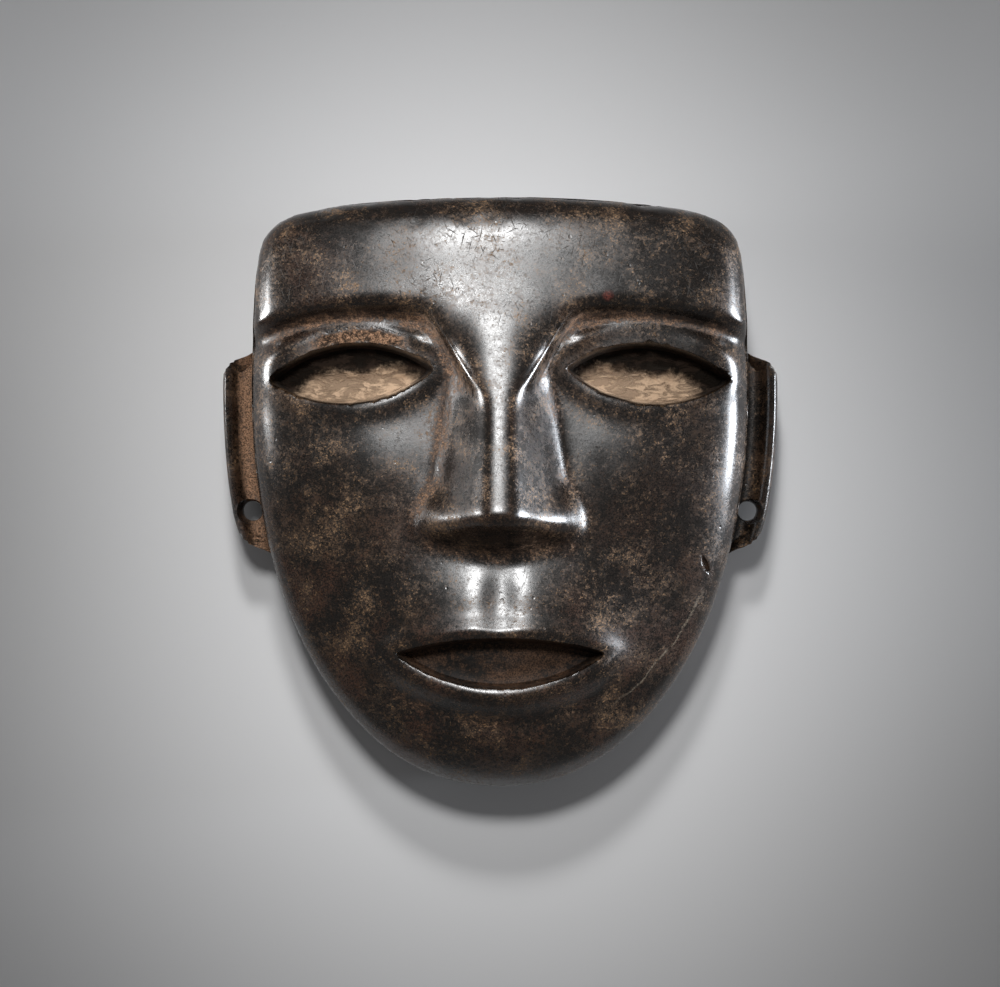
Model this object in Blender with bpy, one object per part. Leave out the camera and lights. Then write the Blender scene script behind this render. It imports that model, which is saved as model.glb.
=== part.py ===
"""A carved stone mask of the kind made at Teotihuacan, lying on its back.

It is one block of dark polished stone. The forehead is cut flat at the top, the eyes and the mouth
are hollows that once held inlay, and each ear is a slab with a channel and a drilled lobe.
The face is a plain one of no person, set out on even thirds.

X runs across the face, Y up it and Z out of it. The rim of the back rests on Z = 0.
"""

from collections import namedtuple

import bmesh
import bpy
import numpy as np
from mathutils import Matrix

Roll = namedtuple("Roll", "height at half")     # a ridge or groove that runs along a rim
Mound = namedtuple("Mound", "height x y half_x half_y")

# Driving dimensions, in metres
HEIGHT = 0.200              # chin to the cut top
HALF_WIDTH = 0.0845         # of the face at the temples, without the ears
SIDE_Z = 0.030              # where the side wall ends and the face starts to round over
DOME = 0.032                # from there to the plane of the forehead
CROWN = 0.0075              # how far that plane falls back towards its sides
FOREHEAD_FALL = 0.0100      # and how far towards the cut top
NOSE_RISE = 0.026           # nose tip over that plane
HOLLOW_DEPTH = 0.024        # of the shallow bowl in the back
SOCKET_DEPTH = 0.010        # of the eyes
MOUTH_DEPTH = 0.0085

TOP_Y = HEIGHT / 2
CHIN_Y = -HEIGHT / 2
TEMPLE_Y = 0.036            # the widest level, and the centre that the rings are laid around
TOP_POWER = 9.0             # a squarish top
JAW_POWER = 2.12            # a jaw close to an ellipse
TOP_NARROWING = 0.035       # how much less wide the top is
TOP_BOW = 0.0055            # the corners of the top lie this much lower than its middle
BACK_NARROWING = 0.03       # how much smaller the outline is at the back than at SIDE_Z
FOREHEAD_POWER = 4.8        # the block's section across: squarish at the forehead
CHIN_POWER = 2.4            # and round at the chin
CHEEK_Y = -0.050            # it changes from the one to the other between this level
FOREHEAD_Y = 0.070          # and this one
END_POWER = 2.1             # the block's rounding down to the chin
EDGE_SHARE = 0.6            # the carving fades out over this part of the rounding over to the side

# The face in thirds: brow, foot of the nose, chin
THIRD = 0.080
BROW_Y = 0.060
NOSE_FOOT_Y = BROW_Y - THIRD
MOUTH_Y = NOSE_FOOT_Y - 0.42 * THIRD
TIP_Y = NOSE_FOOT_Y + 0.011

# Eyes and mouth: almonds between two arcs
EYE_X = 0.0500
EYE_Y = 0.0400
EYE_HALF = 0.0280
EYE_UP = 0.0100
EYE_DOWN = 0.0098
EYE_DROOP = 0.06
MOUTH_HALF = 0.0350
MOUTH_UP = 0.0052
MOUTH_DOWN = 0.0112
TOP_OF_CUT = 0.100          # the eyes' and mouth's cutters reach up to here
SOCKET_DRAFT = 0.0012       # how much smaller a hollow is at its floor
FLOOR_ROUND = 0.25          # the part of its depth over which the wall rounds into the floor
CORNER_ROUND = 0.0060       # at the almonds' two corners

# Brow and the sunk fields under it
BROW_ARCH = 0.0050          # the brow's lower edge rises this far over BROW_Y
ARCH_X = 0.0440             # at this distance from the middle
BROW_FALL = 0.0070          # and falls this far by BROW_SPAN to either side
BROW_SPAN = 0.0400
BROW_SWING = 0.0240         # how far it swings down beside the nose
SWING_FROM, SWING_TO = 0.0280, 0.0050       # between these distances from the middle
ORBIT_DEPTH = 0.0085
ORBIT_STEP = 0.0068         # the height over which the brow drops to them
ORBIT_FOOT = -0.0700        # the level by the chin where they have run out
ORBIT_FADE = 0.1150         # the height over which they do
TEMPLE_X = 0.0560           # they get shallower to the temples from here
TEMPLE_REACH = 0.0280       # over this distance
TEMPLE_SHARE = 0.35         # by this share
GUTTER = Roll(-0.0026, 0.0080, 0.0042)      # the groove close under the brow
GUTTER_FROM, GUTTER_TO = 0.0220, 0.0340     # it deepens between these distances from the middle

# Rolls along the rims of the eyes and the mouth, and mounds of the cheeks and chin
LID_CREST = Roll(0.0036, 0.0066, 0.0032)
LOWER_LID = Roll(0.0016, 0.0016, 0.0040)
LID_SWELL = 0.0020          # of the whole upper lid
LID_REACH = 0.0090          # out to this distance from the eye's rim
LID_FROM, LID_TO = 0.0370, 0.0210           # the lids grow between these distances from the eye's middle
UPPER_LIP = Roll(0.0022, 0.0030, 0.0034)
LOWER_LIP = Roll(0.0036, 0.0036, 0.0040)
LIP_GROOVE = Roll(-0.0026, 0.0125, 0.0042)
LIP_BOW = 0.0012            # the dip in the middle of the upper lip
LIP_FROM, LIP_TO = 0.0460, 0.0320           # the lips grow between these distances from the middle
CHEEK_BONE = Mound(0.0030, 0.052, 0.012, 0.028, 0.024)
CHEEK_HOLLOW = Mound(-0.0016, 0.048, -0.048, 0.018, 0.026)
FURROW = Mound(-0.0013, 0, NOSE_FOOT_Y - 0.014, 0.0055, 0.010)
CHIN_BALL = Mound(0.0040, 0, -0.084, 0.026, 0.014)
MUZZLE = Mound(0.0062, 0, MOUTH_Y + 0.003, 0.043, 0.027)

# Nose
NOSE_HALF = 0.0125          # half its width between the eyes
NOSE_SPREAD = 0.0100        # how much wider it is at the tip
NOSE_ROOT = 0.1000          # how fast it spreads out up the forehead
ROOT_SOFT = 0.15            # how gently it starts, as a part of its length
ROOT_FROM, ROOT_TO = 0.0140, 0.0030         # the sunk fields end between these distances from its ridge
WING = Mound(0.0148, 0.0155, TIP_Y - 0.0010, 0.0125, 0.0150)
NOSE_BACK = 2.8             # the power of its section: the higher, the broader its back
NOSE_UNDERCUT = 2.6         # the slope of the nose's underside
FOOT_ARCH = 0.0035          # its foot rises this far out at the wings
FOOT_X = 0.0240             # at this distance from the middle
BRIDGE_BLEND = 0.35         # how softly its back runs out on the cheeks, as a part of its height
WING_BLEND = 0.0060         # radius of the valley between its back and its wings
TIP_ROUND = 0.0090          # radius of its tip
FOOT_BLEND = 0.0030         # and of the valley under it

# Ears
EAR_TOP = 0.0515
EAR_BOTTOM = -0.0242
EAR_SLOPE = 0.35            # how steeply its ends come in as it reaches out
EAR_CORNER = 0.0045         # radius of its outer corners
EAR_REACH = 0.0115
EAR_FRONT = 0.0250
EAR_BACK = 0.0035
EAR_CHANNEL = 0.0055        # depth of the channel inside the rim
EAR_END = 0.0032            # the height over which an ear's end slopes in
CHANNEL_FOOT = 0.52         # the channel's floor ends at this part of the reach
CHANNEL_RIM = 0.74          # and its rim starts at this one
EAR_ROUND = 0.0026          # rounding of the ear's edges
EAR_TAPER = 0.15            # how much narrower it gets below the lobe's hole
HOLE_Y = -0.0060
HOLE_OUT = 0.0044           # from the side wall to the hole's middle
HOLE_RADIUS = 0.0033        # at the waist, where the two drillings meet
HOLE_FLARE = 0.0006         # how much wider the hole is at each mouth

# Back
FOOT = 0.0025               # radius of the edge that the mask rests inside
GROUND_OFF = 0.0004         # taken off the rim, which is ground flat at Z = 0
HOLLOW_X = 0.063
HOLLOW_Y = 0.075
HOLLOW_MIDDLE_Y = 0.003
HOLLOW_POWER = 2.5
HOLLOW_FULLNESS = 0.8       # the power of the bowl's section: the lower, the fuller

# Fineness of the carved surface, before it is thinned to flat facets
COLUMNS = 280
FRONT_RINGS = 76
SHOULDER_RINGS = 26
EAR_RINGS = 34
HOLLOW_RINGS = 9
FACETS = 8000
SOCKET_COLUMNS = 36

STONE_COLOUR = (0.030, 0.022, 0.017, 1.0)


def ramp(value, start, end):
    """0 before the start, 1 past the end, and an S-curve between."""
    share = np.clip((value - start) / (end - start), 0, 1)
    return share * share * (3 - 2 * share)


def bump(value, middle, half):
    """A bell of height 1 around the middle."""
    return np.exp(-((value - middle) / half) ** 2)


def roll(distance, form):
    """A rounded ridge or groove at its own distance from a rim."""
    return form.height * bump(distance, form.at, form.half)


def mound(x, y, form):
    """A bell on both sides of the face."""
    return form.height * bump(np.abs(x), form.x, form.half_x) * bump(y, form.y, form.half_y)


def larger(a, b, radius):
    """The larger of two heights, with the valley between them filled to a radius."""
    share = np.clip(0.5 + 0.5 * (a - b) / radius, 0, 1)
    return b + (a - b) * share + radius * share * (1 - share)


def smaller(a, b, radius):
    """The smaller of two heights, with the crest between them rounded to a radius."""
    return -larger(-a, -b, radius)


def outline(turn):
    """Half a squarish superellipse above the temples and half a nearly round one below them."""
    c, s = np.cos(turn), np.sin(turn)
    power = np.where(s >= 0, TOP_POWER, JAW_POWER)
    reach = np.where(s >= 0, TOP_Y - TEMPLE_Y, TEMPLE_Y - CHIN_Y)
    x = HALF_WIDTH * np.sign(c) * np.abs(c) ** (2 / power)
    y = TEMPLE_Y + reach * np.sign(s) * np.abs(s) ** (2 / power)
    return x, y


def spaced_outline(columns):
    """Points spread evenly round the outline from the middle of the top, but closer at the ears' ends."""
    turn = np.pi / 2 + np.linspace(0, 2 * np.pi, 8001)
    x, y = outline(turn)
    step = np.hypot(np.diff(x), np.diff(y))
    level = (y[1:] + y[:-1]) / 2
    crowd = bump(level, EAR_TOP, 0.007) + bump(level, EAR_BOTTOM, 0.007)
    length = np.concatenate([[0], np.cumsum(step * (1 + 1.6 * crowd))])
    at = np.arange(columns) / columns * length[-1]
    return np.interp(at, length, x), np.interp(at, length, y)


def half_width_at(y):
    """Half the width of the outline at a level."""
    above = y >= TEMPLE_Y
    power = np.where(above, TOP_POWER, JAW_POWER)
    reach = np.where(above, TOP_Y - TEMPLE_Y, TEMPLE_Y - CHIN_Y)
    along = np.clip(np.abs(y - TEMPLE_Y) / reach, 0, 1)
    return HALF_WIDTH * (1 - along ** power) ** (1 / power)


def rounding(x, y):
    """1 in the middle of the block and 0 at its outline: how it rounds over to the side wall."""
    across_power = CHIN_POWER + (FOREHEAD_POWER - CHIN_POWER) * ramp(y, CHEEK_Y, FOREHEAD_Y)
    along_power = np.where(y >= TEMPLE_Y, TOP_POWER, END_POWER)
    reach = np.where(y >= TEMPLE_Y, TOP_Y - TEMPLE_Y, TEMPLE_Y - CHIN_Y)
    across = np.clip(np.abs(x) / np.maximum(half_width_at(y), 1e-9), 0, 1)
    along = np.clip(np.abs(y - TEMPLE_Y) / reach, 0, 1)
    side = (1 - across ** across_power) ** (1 / across_power)
    end = (1 - along ** along_power) ** (1 / along_power)
    return side * end


def dome(x, y):
    """The plain block of the head: round across, flat up the forehead, and rounding in to the chin."""
    across = np.clip(np.abs(x) / np.maximum(half_width_at(y), 1e-9), 0, 1)
    up = np.clip((y - TEMPLE_Y) / (TOP_Y - TEMPLE_Y), 0, 1)
    return SIDE_Z + (DOME - CROWN * across ** 2 - FOREHEAD_FALL * up ** 2) * rounding(x, y)


def arc_distance(x, y, half, rise):
    """Distance to the disc whose edge passes both corners (-half and half, 0) and rises by rise."""
    radius = (half ** 2 + rise ** 2) / (2 * abs(rise))
    centre = rise - np.sign(rise) * radius
    return np.hypot(x, y - centre) - radius


def almond(x, y, half, up, down, corner):
    """Distance to an almond between two arcs, and a weight from 0 at its lower arc to 1 at its upper."""
    over = arc_distance(x, y, half, up)
    under = arc_distance(x, y, half, -down)
    return larger(over, under, corner), ramp(over - under, -0.006, 0.006)


def eye(x, y):
    """Distance to the nearer eye's rim, negative in its hollow, and the weight of its upper side."""
    across = np.abs(x) - EYE_X
    along = y - EYE_Y + EYE_DROOP * across
    return almond(across, along, EYE_HALF, EYE_UP, EYE_DOWN, 0.005)


def mouth(x, y):
    """Distance to the mouth's rim, and the weight of the upper lip."""
    bow = LIP_BOW * bump(x, 0, 0.007) * ramp(y - MOUTH_Y, -0.002, 0.004)
    return almond(x, y - MOUTH_Y + bow, MOUTH_HALF, MOUTH_UP, MOUTH_DOWN, 0.003)


def brow_line(x):
    """The lower edge of the brow: an arch that swings down the side of the nose."""
    a = np.abs(x)
    arch = BROW_Y + BROW_ARCH - BROW_FALL * ((a - ARCH_X) / BROW_SPAN) ** 2
    return arch - BROW_SWING * ramp(a, SWING_FROM, SWING_TO)


def orbits(x, y):
    """The sunk fields that hold the eyes: a step under the brow that fades down the cheek."""
    a = np.abs(x)
    below = brow_line(x) - y
    field = ORBIT_DEPTH * ramp(below, 0, ORBIT_STEP) * ramp(y, ORBIT_FOOT, ORBIT_FOOT + ORBIT_FADE)
    gutter = roll(below, GUTTER) * ramp(a, GUTTER_FROM, GUTTER_TO)
    nose_root = ramp(a, ROOT_FROM, ROOT_TO) * ramp(y, NOSE_FOOT_Y - 0.004, NOSE_FOOT_Y + 0.008)
    temple = TEMPLE_SHARE * ramp(a, TEMPLE_X, TEMPLE_X + TEMPLE_REACH)
    return (gutter - field) * (1 - nose_root) * (1 - temple)


def eyelids(x, y):
    """A crest over the upper lid, a soft swell around the eye and a thin lower lid."""
    d, upper = eye(x, y)
    ends = ramp(np.abs(np.abs(x) - EYE_X), LID_FROM, LID_TO)
    crest = roll(d, LID_CREST) * upper * ends
    swell = LID_SWELL * ramp(d, LID_REACH, 0) * upper
    return crest + swell + roll(d, LOWER_LID) * (1 - upper)


def muzzle(x, y):
    """The soft swell that carries the mouth, with a flatter top than a mound."""
    r = np.hypot(x / MUZZLE.half_x, (y - MUZZLE.y) / MUZZLE.half_y)
    return MUZZLE.height * np.exp(-r ** 3)


def lips(x, y):
    """A rolled lip above and a fuller one below, and the groove under it."""
    d, upper = mouth(x, y)
    ends = ramp(np.abs(x), LIP_FROM, LIP_TO)
    return (roll(d, UPPER_LIP) * upper + (roll(d, LOWER_LIP) + roll(d, LIP_GROOVE)) * (1 - upper)) * ends


def nose(x, y):
    """Height of the nose over the block: a round-backed wedge that widens to a full tip and two wings."""
    a = np.abs(x)
    down = (BROW_Y - y) / (BROW_Y - TIP_Y)
    rise = NOSE_RISE * (np.hypot(down, ROOT_SOFT) + down) / 2
    root = NOSE_ROOT * (np.hypot(down, ROOT_SOFT) - down) / 2
    half = NOSE_HALF + NOSE_SPREAD * np.clip(down, 0, 1.3) + root
    side = (a / half) ** NOSE_BACK
    bridge = rise * larger(1 - side, np.zeros_like(side), BRIDGE_BLEND)
    away = ((a - WING.x) / WING.half_x) ** 2 + ((y - WING.y) / WING.half_y) ** 2
    both = larger(bridge, WING.height * (1 - away), WING_BLEND)
    foot = NOSE_FOOT_Y + FOOT_ARCH * (a / FOOT_X) ** 2
    under = NOSE_UNDERCUT * (y - foot)
    flat = np.zeros_like(both)
    cut = [larger(smaller(height, under, TIP_ROUND), flat, FOOT_BLEND) for height in (both, flat)]
    return cut[0] - cut[1]


def relief(x, y):
    """Everything that is carved on the plain block, but for the hollows of the eyes and the mouth."""
    mounds = sum(mound(x, y, form) for form in (CHEEK_BONE, CHEEK_HOLLOW, FURROW, CHIN_BALL))
    return orbits(x, y) + eyelids(x, y) + mounds + muzzle(x, y) + lips(x, y) + nose(x, y)


def face(x, y):
    """Height of the carved face, before its eyes and mouth are hollowed out."""
    return dome(x, y) + relief(x, y) * ramp(rounding(x, y), 0, EDGE_SHARE)


def front_rows(ox, oy):
    """Rings from the middle of the face to the side wall, spaced evenly over the flat and the shoulder."""
    flat = np.arange(1, FRONT_RINGS + 1) / FRONT_RINGS
    fall = 1 - np.arange(1, SHOULDER_RINGS + 1) / SHOULDER_RINGS
    a = np.concatenate([flat, np.ones(SHOULDER_RINGS)])
    b = np.concatenate([np.ones(FRONT_RINGS), fall])
    rho = (a / (a ** 3 + b ** 3) ** (1 / 3))[:, None]
    x = rho * ox
    y = TEMPLE_Y + rho * (oy - TEMPLE_Y)
    return x, y, face(x, y)


def ear_section(rings):
    """Down the side wall, out across the ear's channel and rim, round its edge and back in behind it."""
    corners = np.array([
        (0, SIDE_Z),
        (0, EAR_FRONT - EAR_CHANNEL),
        (CHANNEL_FOOT * EAR_REACH, EAR_FRONT - EAR_CHANNEL),
        (CHANNEL_RIM * EAR_REACH, EAR_FRONT),
        (EAR_REACH, EAR_FRONT),
        (EAR_REACH, EAR_BACK),
        (0, EAR_BACK),
        (0, FOOT),
    ])
    steps = np.linalg.norm(np.diff(corners, axis=0), axis=1)
    length = np.concatenate([[0], np.cumsum(steps)])
    even = np.linspace(0, length[-1], 1001)
    path = np.stack([np.interp(even, length, corners[:, k]) for k in (0, 1)], 1)
    window = int(EAR_ROUND / even[1])
    padded = np.pad(path, ((window, window), (0, 0)), mode="reflect", reflect_type="odd")
    kernel = np.ones(2 * window + 1) / (2 * window + 1)
    path = np.stack([np.convolve(padded[:, k], kernel, mode="valid") for k in (0, 1)], 1)
    at = np.linspace(0, length[-1], rings + 1)[1:]
    return np.stack([np.interp(at, even, path[:, k]) for k in (0, 1)], 0)


def side_rows(ox, oy):
    """Rings down the side wall, which swing out to the ears' section between the ears' ends."""
    out, z_ear = ear_section(EAR_RINGS)[:, :, None]
    z_wall = np.linspace(SIDE_Z, FOOT, EAR_RINGS + 1)[1:, None]
    taper = 1 - EAR_TAPER * ramp(oy, HOLE_Y, EAR_BOTTOM)
    past_corner = np.clip(out - EAR_REACH + EAR_CORNER, 0, EAR_CORNER)
    end = EAR_SLOPE * out + EAR_CORNER - np.sqrt(EAR_CORNER ** 2 - past_corner ** 2)
    top = EAR_TOP - end
    bottom = EAR_BOTTOM + end
    ear = ramp(oy, top, top - EAR_END) * ramp(oy, bottom, bottom + EAR_END)
    x = ox + np.sign(ox) * out * taper * ear
    z = z_wall + (z_ear - z_wall) * ear
    return x, oy * np.ones_like(x), z


def back_rows(ox, oy):
    """Round the foot, across the flat rim that the mask rests on, and up into the bowl of the back."""
    quarter = np.linspace(0, np.pi / 2, 5)[1:, None]
    radius = np.hypot(ox, oy - TEMPLE_Y)
    inset = 1 - FOOT * (1 - np.cos(quarter)) / radius
    x = [ox * inset]
    y = [TEMPLE_Y + (oy - TEMPLE_Y) * inset]
    z = [(FOOT - (FOOT + GROUND_OFF) * np.sin(quarter)) * np.ones_like(ox)]
    turn = np.arctan2((oy - HOLLOW_MIDDLE_Y) / HOLLOW_Y, ox / HOLLOW_X)
    c, s = np.cos(turn), np.sin(turn)
    size = (np.abs(c) ** HOLLOW_POWER + np.abs(s) ** HOLLOW_POWER) ** (-1 / HOLLOW_POWER)
    hollow_x = HOLLOW_X * size * c
    hollow_y = HOLLOW_Y * size * s
    share = np.linspace(0, 1, 4)[1:, None]
    x.append(x[0][-1] + share * (hollow_x - x[0][-1]))
    y.append(y[0][-1] + share * (hollow_y + HOLLOW_MIDDLE_Y - y[0][-1]))
    z.append(np.full((3, len(ox)), -GROUND_OFF))
    rise = np.linspace(0, np.pi / 2, HOLLOW_RINGS + 1)[1:-1, None]
    x.append(hollow_x * np.cos(rise) ** HOLLOW_FULLNESS)
    y.append(hollow_y * np.cos(rise) ** HOLLOW_FULLNESS + HOLLOW_MIDDLE_Y)
    z.append(((HOLLOW_DEPTH + GROUND_OFF) * np.sin(rise) - GROUND_OFF) * np.ones_like(ox))
    return [np.concatenate(rows) for rows in (x, y, z)]


def bent(x, y, z):
    """The whole block narrowed a little to the back and to the top, and the top's edge bowed."""
    size = 1 - BACK_NARROWING * np.clip(1 - z / SIDE_Z, 0, 1)
    x = x * size
    y = TEMPLE_Y + (y - TEMPLE_Y) * size
    rise = np.clip((y - TEMPLE_Y) / (TOP_Y - TEMPLE_Y), 0, 1)
    x = x * (1 - TOP_NARROWING * rise ** 1.5)
    y = y - TOP_BOW * rise ** 3 * (x / HALF_WIDTH) ** 2
    return x, y, z


def mask_points():
    """Rings of points from the middle of the face round to the middle of the back."""
    ox, oy = spaced_outline(COLUMNS)
    bands = [front_rows(ox, oy), side_rows(ox, oy), back_rows(ox, oy)]
    x, y, z = [np.concatenate([band[k] for band in bands]) for k in range(3)]
    return np.stack(bent(x, y, z), -1)


def relaid_sphere(name, rings, front_pole, back_pole):
    """A UV sphere whose rings and poles are moved to the places given."""
    count, columns, _ = rings.shape
    form = bmesh.new()
    bmesh.ops.create_uvsphere(form, u_segments=columns, v_segments=count + 1, radius=1)
    mesh = bpy.data.meshes.new(name)
    form.to_mesh(mesh)
    form.free()
    place = np.empty(len(mesh.vertices) * 3)
    mesh.vertices.foreach_get("co", place)
    place = place.reshape(-1, 3)
    ring = np.rint(np.arccos(np.clip(place[:, 2], -1, 1)) / np.pi * (count + 1)).astype(int)
    turn = np.arctan2(place[:, 1], place[:, 0]) / (2 * np.pi)
    column = np.rint(turn * columns).astype(int) % columns
    moved = rings[np.clip(ring - 1, 0, count - 1), column]
    moved[ring == 0] = front_pole
    moved[ring == count + 1] = back_pole
    mesh.vertices.foreach_set("co", moved.astype(np.float32).ravel())
    mesh.update()
    return mesh


def stone():
    """Dark polished stone."""
    material = bpy.data.materials.new("polished_stone")
    material.use_nodes = True
    shader = material.node_tree.nodes["Principled BSDF"]
    shader.inputs["Base Color"].default_value = STONE_COLOUR
    shader.inputs["Roughness"].default_value = 0.35
    shader.inputs["Metallic"].default_value = 0.0
    return material


def add_boolean(target, cutter, operation):
    """A live Boolean on the target."""
    change = target.modifiers.new(cutter.name, "BOOLEAN")
    change.operation = operation
    change.solver = "EXACT"
    change.object = cutter


def almond_edge(turn, half, up, down, corner):
    """Distance from an almond's middle to its edge: the nearer of its two arcs, rounded where they meet."""
    reach = []
    for rise in (up, -down):
        radius = (half ** 2 + rise ** 2) / (2 * abs(rise))
        centre = rise - np.sign(rise) * radius
        along = np.sin(turn) * centre
        reach.append(along + np.sqrt(along ** 2 + radius ** 2 - centre ** 2))
    return smaller(reach[0], reach[1], corner)


def socket_cutter(name, middle, size, droop, depth, cutters):
    """The space of an almond hollow: straight down through the face, with a floor that follows it."""
    turn = np.arange(SOCKET_COLUMNS) / SOCKET_COLUMNS * 2 * np.pi
    edge = almond_edge(turn, *size, CORNER_ROUND)
    inset = np.array([0, 0, SOCKET_DRAFT / edge.min(), 0.45, 0.75])[:, None]
    across = (1 - inset) * edge * np.cos(turn)
    along = (1 - inset) * edge * np.sin(turn) - droop * across
    x = middle[0] + across
    y = middle[1] + along
    z = face(x, y) - depth
    z[0] = TOP_OF_CUT
    z[1] += FLOOR_ROUND * depth
    pole_x, pole_y = np.float64(middle[0]), np.float64(middle[1])
    floor = float(face(pole_x, pole_y)) - depth
    mesh = relaid_sphere(
        name, np.stack([x, y, z], -1),
        front_pole=(*middle, TOP_OF_CUT), back_pole=(*middle, floor))
    return add_cutter(name, mesh, cutters)


def add_cutter(name, mesh, cutters):
    """A hidden object that only cuts."""
    cutter = bpy.data.objects.new(name, mesh)
    cutter.hide_render = True
    cutter.display_type = "WIRE"
    cutters.objects.link(cutter)
    return cutter


def grinding_plate(cutters):
    """The slab that grinds the back's rim flat at Z = 0."""
    side, thick = 0.3, 0.02
    form = bmesh.new()
    bmesh.ops.create_cube(form, size=1)
    bmesh.ops.scale(form, verts=form.verts, vec=(side, side, thick))
    bmesh.ops.translate(form, verts=form.verts, vec=(0, 0, -thick / 2))
    mesh = bpy.data.meshes.new("grinding_plate")
    form.to_mesh(mesh)
    form.free()
    return add_cutter("grinding_plate", mesh, cutters)


def lobe_drill(name, side, end, cutters):
    """One cone of a lobe's hole, drilled from one end (1 front, -1 back) to past the middle."""
    middle = (EAR_FRONT + EAR_BACK) / 2
    past = 0.0015
    clear = 0.0040
    half = (EAR_FRONT - EAR_BACK) / 2
    length = half + clear + past
    slope = HOLE_FLARE / half
    form = bmesh.new()
    bmesh.ops.create_cone(
        form, cap_ends=True, cap_tris=False, segments=20, depth=length,
        radius1=HOLE_RADIUS - past * slope, radius2=HOLE_RADIUS + (half + clear) * slope)
    if end < 0:
        bmesh.ops.rotate(form, verts=form.verts, matrix=Matrix.Rotation(np.pi, 3, "X"))
    mesh = bpy.data.meshes.new(name)
    form.to_mesh(mesh)
    form.free()
    drill = add_cutter(name, mesh, cutters)
    x = float(half_width_at(np.float64(HOLE_Y))) + HOLE_OUT
    drill.location = (side * x, HOLE_Y, middle + end * (length / 2 - past))
    return drill


def add_collection(name):
    """A new collection in the scene."""
    group = bpy.data.collections.new(name)
    bpy.context.scene.collection.children.link(group)
    return group


def main():
    for old in list(bpy.data.objects):
        bpy.data.objects.remove(old, do_unlink=True)
    pieces = add_collection("teotihuacan_mask")
    cutters = add_collection("cutters")

    middle = np.array([[0.0]]), np.array([[TEMPLE_Y]])
    front_z = float(face(*middle)[0, 0])
    mesh = relaid_sphere(
        "mask", mask_points(),
        front_pole=(0, TEMPLE_Y, front_z), back_pole=(0, HOLLOW_MIDDLE_Y, HOLLOW_DEPTH))
    mask = bpy.data.objects.new("mask", mesh)
    mask.data.materials.append(stone())
    pieces.objects.link(mask)

    thin = mask.modifiers.new("facets", "DECIMATE")
    thin.ratio = FACETS / (2 * len(mesh.polygons))
    thin.use_symmetry = True
    thin.symmetry_axis = "X"
    add_boolean(mask, grinding_plate(cutters), "DIFFERENCE")
    for side, word in ((1, "right"), (-1, "left")):
        eye_cut = socket_cutter(
            f"eye_hollow_{word}", (side * EYE_X, EYE_Y), (EYE_HALF, EYE_UP, EYE_DOWN),
            side * EYE_DROOP, SOCKET_DEPTH, cutters)
        add_boolean(mask, eye_cut, "DIFFERENCE")
    mouth_cut = socket_cutter(
        "mouth_hollow", (0, MOUTH_Y), (MOUTH_HALF, MOUTH_UP, MOUTH_DOWN), 0, MOUTH_DEPTH, cutters)
    add_boolean(mask, mouth_cut, "DIFFERENCE")
    for side, word in ((1, "right"), (-1, "left")):
        for end, end_word in ((1, "front"), (-1, "back")):
            drill = lobe_drill(f"lobe_drill_{word}_{end_word}", side, end, cutters)
            add_boolean(mask, drill, "DIFFERENCE")
    mesh.shade_smooth()
    mesh.set_sharp_from_angle(angle=np.radians(50))


main()
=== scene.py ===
"""The looks of a carved stone mask of the kind made at Teotihuacan, lying on a pale floor.

The mask is one piece. Its surface is worked out as rings of points, from the middle of the face
round to the middle of the back, with the same sizes and formulas as the solid it stands for. The
hollows of the eyes and the mouth, the lobes' holes and a nick are cut out of it, and the wear of
the stone is laid on its points. X runs across the face, Y up it and Z out of it.
"""

from collections import namedtuple

import bpy
import numpy as np
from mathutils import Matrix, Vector


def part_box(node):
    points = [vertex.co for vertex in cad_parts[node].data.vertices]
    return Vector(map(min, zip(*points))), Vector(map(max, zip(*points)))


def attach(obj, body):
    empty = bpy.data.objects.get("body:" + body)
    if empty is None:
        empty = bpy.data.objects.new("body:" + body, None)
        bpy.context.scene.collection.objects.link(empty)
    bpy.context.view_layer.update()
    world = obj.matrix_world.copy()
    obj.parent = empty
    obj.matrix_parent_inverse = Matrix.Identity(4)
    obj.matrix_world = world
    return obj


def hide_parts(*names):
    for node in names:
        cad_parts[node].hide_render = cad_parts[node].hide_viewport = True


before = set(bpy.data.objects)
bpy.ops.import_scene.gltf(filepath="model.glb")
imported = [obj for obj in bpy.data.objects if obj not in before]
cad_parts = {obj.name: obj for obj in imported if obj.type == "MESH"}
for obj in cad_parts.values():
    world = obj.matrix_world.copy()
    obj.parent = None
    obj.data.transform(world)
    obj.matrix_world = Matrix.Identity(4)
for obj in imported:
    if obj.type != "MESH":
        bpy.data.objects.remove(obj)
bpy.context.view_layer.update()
LOW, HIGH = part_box("mask")

Roll = namedtuple("Roll", "height at half")     # a ridge or groove that runs along a rim
Mound = namedtuple("Mound", "height x y half_x half_y")

# Sizes of the block, in metres
HEIGHT = round(HIGH.y - LOW.y, 3)
HALF_WIDTH = 0.0845         # of the face at the temples, without the ears
SIDE_Z = 0.030              # where the side wall ends and the face starts to round over
DOME = 0.032                # from there to the plane of the forehead
CROWN = 0.0075              # how far that plane falls back towards its sides
FOREHEAD_FALL = 0.0100      # and how far towards the cut top
NOSE_RISE = 0.026           # nose tip over that plane
HOLLOW_DEPTH = 0.024        # of the shallow bowl in the back
SOCKET_DEPTH = 0.010        # of the eyes
MOUTH_DEPTH = 0.0085

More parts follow.
